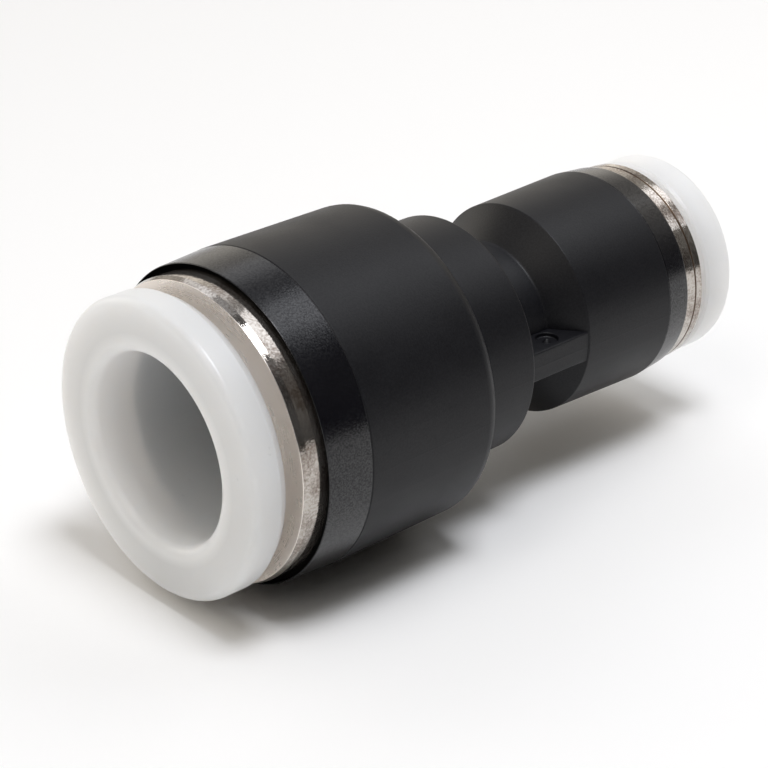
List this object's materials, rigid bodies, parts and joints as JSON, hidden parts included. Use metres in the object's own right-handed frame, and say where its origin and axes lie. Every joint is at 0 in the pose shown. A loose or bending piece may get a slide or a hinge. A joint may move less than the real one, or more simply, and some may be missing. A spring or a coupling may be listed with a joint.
{
  "type": "push-in tube coupling",
  "caption": "Straight reducing push-in coupling for plastic tube: dark moulded body, bright guide rings and white release rings that slide in and turn.",
  "frame": {"origin": "on the bore axis, in the plane of the large release ring's face that the coupling stands on", "axes": "+Z along the bore from the large end to the small end, the flat web beside the neck in the YZ plane, its dimple towards -X and -Y"},
  "size_m": [0.0212, 0.0212, 0.0446],
  "materials": {
    "body": "fine-grained moulded, dark grey",
    "release_ring": "smooth white acetal",
    "guide_ring": "nickel plated, turned",
    "lock_claw": "bare sheet",
    "backing_ring": "smooth",
    "seal": "smooth"
  },
  "bodies": {
    "coupling": {"body": "body", "large_guide_ring": "guide_ring", "small_guide_ring": "guide_ring", "large_backing_ring": "backing_ring", "small_backing_ring": "backing_ring", "large_seal": "seal", "small_seal": "seal"},
    "large_claw": {"large_lock_claw": "lock_claw"},
    "large_release": {"large_release_ring": "release_ring"},
    "small_claw": {"small_lock_claw": "lock_claw"},
    "small_release": {"small_release_ring": "release_ring"}
  },
  "joints": [
    {"name": "large_turn", "type": "hinge", "parent": "coupling", "child": "large_claw", "pos_m": [0, 0, 0.00945], "axis": [0, 0, 1], "continuous": true},
    {"name": "large_push", "type": "slide", "parent": "large_claw", "child": "large_release", "axis": [0, 0, 1], "range_m": [0, 0.0008], "stiffness_N_per_m": 1500, "springref_m": -0.0006, "deforming": ["large_lock_claw"]},
    {"name": "small_turn", "type": "hinge", "parent": "coupling", "child": "small_claw", "pos_m": [0, 0, 0.03605], "axis": [0, 0, 1], "continuous": true},
    {"name": "small_push", "type": "slide", "parent": "small_claw", "child": "small_release", "axis": [0, 0, -1], "range_m": [0, 0.0005], "stiffness_N_per_m": 1200, "springref_m": -0.0006, "deforming": ["small_lock_claw"]}
  ]
}
